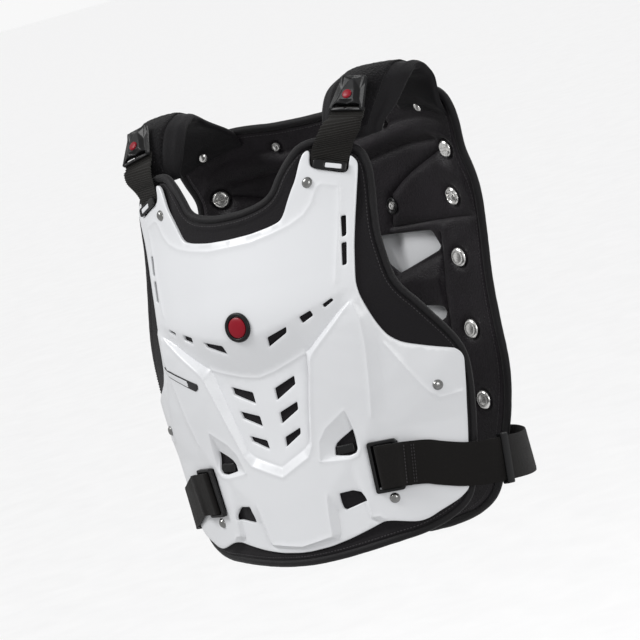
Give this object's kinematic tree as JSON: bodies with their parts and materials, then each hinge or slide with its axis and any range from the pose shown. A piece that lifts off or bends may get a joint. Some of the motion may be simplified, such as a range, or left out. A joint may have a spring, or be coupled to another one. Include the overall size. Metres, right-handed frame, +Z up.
{
  "type": "motocross chest protector",
  "caption": "Rider's chest and back protector: vented white hard plates over bound foam liners, joined by padded shoulder straps and elastic side straps, open for torso, neck and arms.",
  "frame": {"origin": "midway between the undersides of the two shoulder pads, where a pair of shoulders or a hanger carries the piece; plain mount shoulder_rest", "axes": "+Z up, the front plate faces -Y, the wearer's left is +X"},
  "size_m": [0.4032, 0.2864, 0.5068],
  "materials": {
    "white_plastic": "semi-gloss cool white moulded shell",
    "back_plastic": "semi-gloss cool white moulded shell",
    "liner_foam": "fine black knit over foam",
    "back_foam": "fine black knit over moulded foam",
    "binding_tape": "black stretch binding tape",
    "pad_cloth": "black knit over foam",
    "hook_loop": "fuzzy black loop fabric",
    "webbing": "ribbed black webbing",
    "elastic": "black woven elastic",
    "black_plastic": "satin black moulded plastic",
    "red_disc": "red plastic disc, plain",
    "nickel": "bright nickel",
    "sticker": "plain black sticker"
  },
  "bodies": {
    "root": {"front_plate": "white_plastic", "front_liner": "liner_foam", "front_binding": "binding_tape", "badge_ring": "black_plastic", "badge_disc": "red_disc", "side_label": "sticker", "back_plate": "back_plastic", "back_liner": "back_foam", "back_binding": "binding_tape", "shoulder_rivet_l": "nickel", "shoulder_rivet_r": "nickel", "side_rivet_l": "nickel", "side_rivet_r": "nickel", "lower_rivet_l": "nickel", "lower_rivet_r": "nickel", "shoulder_pad_l": "pad_cloth", "shoulder_pad_r": "pad_cloth", "loop_patch_l": "hook_loop", "loop_patch_r": "hook_loop", "shoulder_buckle_l": "black_plastic", "shoulder_buckle_r": "black_plastic", "buckle_disc_l": "red_disc", "buckle_disc_r": "red_disc", "shoulder_webbing_l": "webbing", "shoulder_webbing_r": "webbing", "pad_screw_l": "nickel", "pad_screw_r": "nickel", "side_strap_l": "elastic", "side_strap_r": "elastic", "side_buckle_l": "black_plastic", "side_buckle_r": "black_plastic", "strap_keeper_l": "black_plastic", "strap_keeper_r": "black_plastic", "inner_slide_l": "black_plastic", "inner_slide_r": "black_plastic", "back_screw_l_1": "nickel", "back_screw_r_1": "nickel", "back_screw_l_2": "nickel", "back_screw_r_2": "nickel", "back_screw_l_3": "nickel", "back_screw_r_3": "nickel", "back_screw_l_4": "nickel", "back_screw_r_4": "nickel", "back_screw_l_5": "nickel", "back_screw_r_5": "nickel", "back_screw_l_6": "nickel", "back_screw_r_6": "nickel", "back_screw_l_7": "nickel", "back_screw_r_7": "nickel"}
  },
  "joints": []
}
